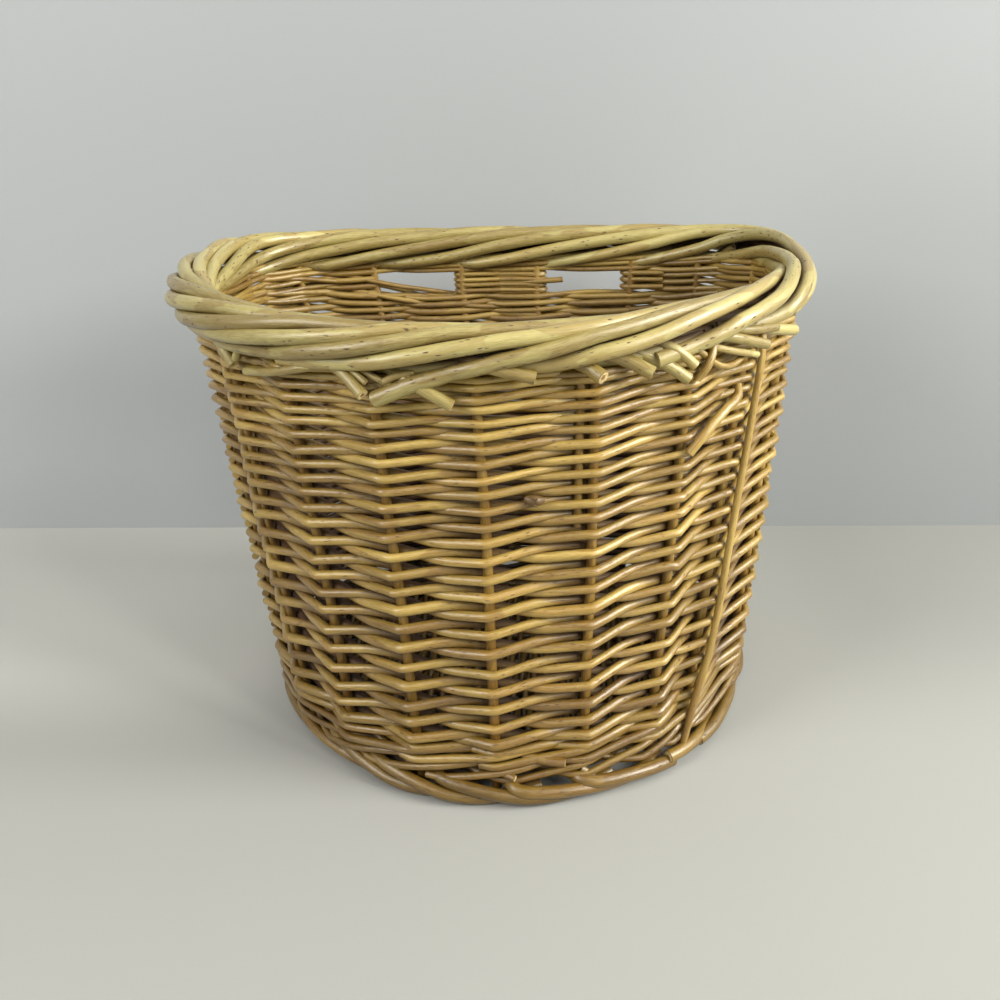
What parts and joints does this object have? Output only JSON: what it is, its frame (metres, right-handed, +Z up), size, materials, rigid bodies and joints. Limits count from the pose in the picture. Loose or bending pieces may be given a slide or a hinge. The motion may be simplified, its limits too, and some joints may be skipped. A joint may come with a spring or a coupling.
{
  "type": "bicycle basket",
  "caption": "Open-topped D-shaped wicker bicycle basket with a flat slotted back, bowed woven front, rolled rope rim and foot border.",
  "frame": {"origin": "middle of the outline in plan, on the underside of the foot border", "axes": "+Z up, the bowed front faces -Y, the flat slotted back faces +Y, +X is to the right seen from the front"},
  "size_m": [0.379, 0.269, 0.2851],
  "materials": {
    "rim_willow": "satin varnished pale willow rod, bark-free",
    "weaver_willow": "satin varnished honey willow, thin rods",
    "stake_willow": "satin willow rod",
    "foot_willow": "satin varnished brown willow rod",
    "base_willow": "dull willow rod"
  },
  "bodies": {
    "root": {"foot_border_rod_01": "foot_willow", "foot_border_rod_02": "foot_willow", "foot_border_rod_03": "foot_willow", "foot_border_rod_04": "foot_willow", "foot_border_rod_05": "foot_willow", "foot_border_rod_06": "foot_willow", "side_stake_01": "stake_willow", "side_stake_02": "stake_willow", "side_stake_03": "stake_willow", "side_stake_04": "stake_willow", "side_stake_05": "stake_willow", "side_stake_06": "stake_willow", "side_stake_07": "stake_willow", "side_stake_08": "stake_willow", "side_stake_09": "stake_willow", "side_stake_10": "stake_willow", "side_stake_11": "stake_willow", "side_stake_12": "stake_willow", "side_stake_13": "stake_willow", "side_stake_14": "stake_willow", "side_stake_15": "stake_willow", "side_stake_16": "stake_willow", "side_stake_17": "stake_willow", "side_stake_18": "stake_willow", "side_stake_19": "stake_willow", "wall_weaver_01": "weaver_willow", "wall_weaver_02": "weaver_willow", "wall_weaver_03": "weaver_willow", "wall_weaver_04": "weaver_willow", "wall_weaver_05": "weaver_willow", "slot_row_weaver": "weaver_willow", "slot_bridge_weaver": "weaver_willow", "top_weaver": "weaver_willow", "rim_rod_01": "rim_willow", "rim_rod_02": "rim_willow", "rim_rod_03": "rim_willow", "rim_rod_04": "rim_willow", "rim_rod_05": "rim_willow", "rim_rod_06": "rim_willow", "rim_rod_07": "rim_willow", "rim_rod_08": "rim_willow", "rim_rod_09": "rim_willow", "rim_rod_10": "rim_willow", "rim_rod_11": "rim_willow", "rim_rod_12": "rim_willow", "rim_rod_13": "rim_willow", "rim_rod_14": "rim_willow", "rim_rod_15": "rim_willow", "rim_rod_16": "rim_willow", "rim_rod_17": "rim_willow", "rim_rod_18": "rim_willow", "rim_rod_19": "rim_willow", "leaning_rod": "stake_willow", "base_stick_01": "base_willow", "base_stick_02": "base_willow", "base_stick_03": "base_willow", "base_stick_04": "base_willow", "base_stick_05": "base_willow", "base_frame": "base_willow", "base_weaver": "base_willow"}
  },
  "joints": []
}
